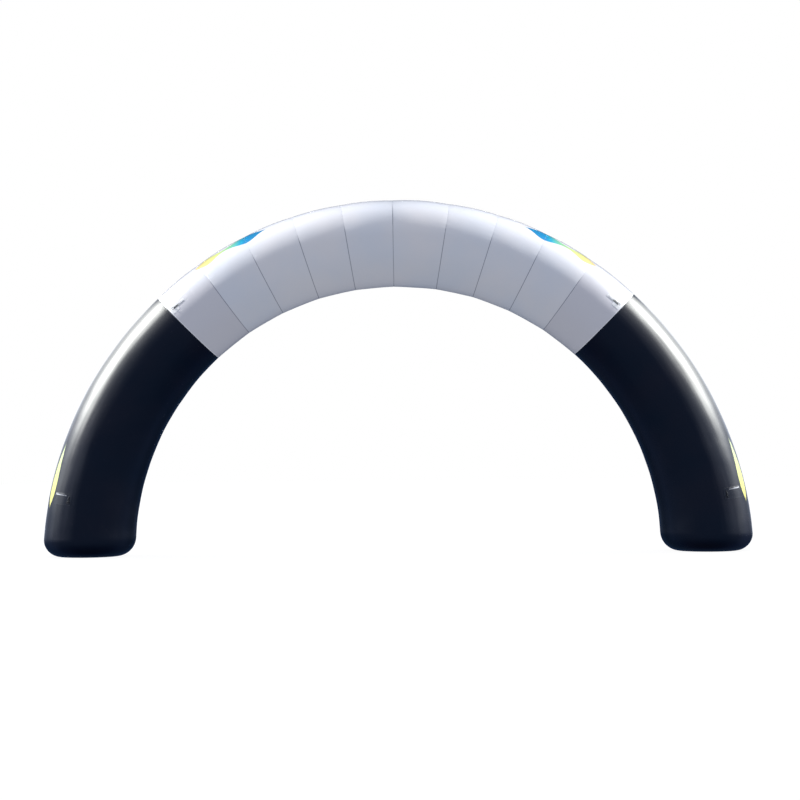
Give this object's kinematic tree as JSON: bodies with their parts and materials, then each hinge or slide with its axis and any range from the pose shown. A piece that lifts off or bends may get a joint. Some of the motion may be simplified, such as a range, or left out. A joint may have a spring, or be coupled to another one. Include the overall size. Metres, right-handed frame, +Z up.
{
  "type": "inflatable arch",
  "caption": "Half-round inflatable event arch: a white gored air tube between two black legs, with sewn tie-down patches, straps and D-rings.",
  "frame": {"origin": "on the ground, midway between the two feet", "axes": "+X along the span to the right foot, +Y to the back, +Z up"},
  "size_m": [10, 1.288, 5],
  "materials": {
    "white_cloth": "white coated polyester, satin",
    "black_cloth": "black coated polyester, glossy",
    "dark_webbing": "matt woven polypropylene webbing",
    "pale_webbing": "matt woven polyester tape",
    "ring_steel": "zinc plated wire"
  },
  "bodies": {
    "root": {"gore_01": "white_cloth", "gore_02": "white_cloth", "gore_03": "white_cloth", "gore_04": "white_cloth", "gore_05": "white_cloth", "gore_06": "white_cloth", "gore_07": "white_cloth", "gore_08": "white_cloth", "gore_09": "white_cloth", "gore_10": "white_cloth", "leg_left": "black_cloth", "leg_right": "black_cloth", "upper_patch_front_left": "white_cloth", "upper_patch_front_right": "white_cloth", "upper_patch_back_left": "white_cloth", "upper_patch_back_right": "white_cloth", "upper_strap_front_left": "dark_webbing", "upper_strap_front_right": "dark_webbing", "upper_strap_back_left": "dark_webbing", "upper_strap_back_right": "dark_webbing", "upper_ring_front_left": "ring_steel", "upper_ring_front_right": "ring_steel", "upper_ring_back_left": "ring_steel", "upper_ring_back_right": "ring_steel", "lower_patch_front_left": "black_cloth", "lower_patch_front_right": "black_cloth", "lower_patch_back_left": "black_cloth", "lower_patch_back_right": "black_cloth", "lower_strap_front_left": "dark_webbing", "lower_strap_front_right": "dark_webbing", "lower_strap_back_left": "dark_webbing", "lower_strap_back_right": "dark_webbing", "lower_ring_front_left": "ring_steel", "lower_ring_front_right": "ring_steel", "lower_ring_back_left": "ring_steel", "lower_ring_back_right": "ring_steel", "lower_tape_front_left": "pale_webbing", "lower_tape_front_right": "pale_webbing", "lower_tape_back_left": "pale_webbing", "lower_tape_back_right": "pale_webbing", "crown_tab_left": "dark_webbing", "crown_tab_right": "dark_webbing"}
  },
  "joints": []
}
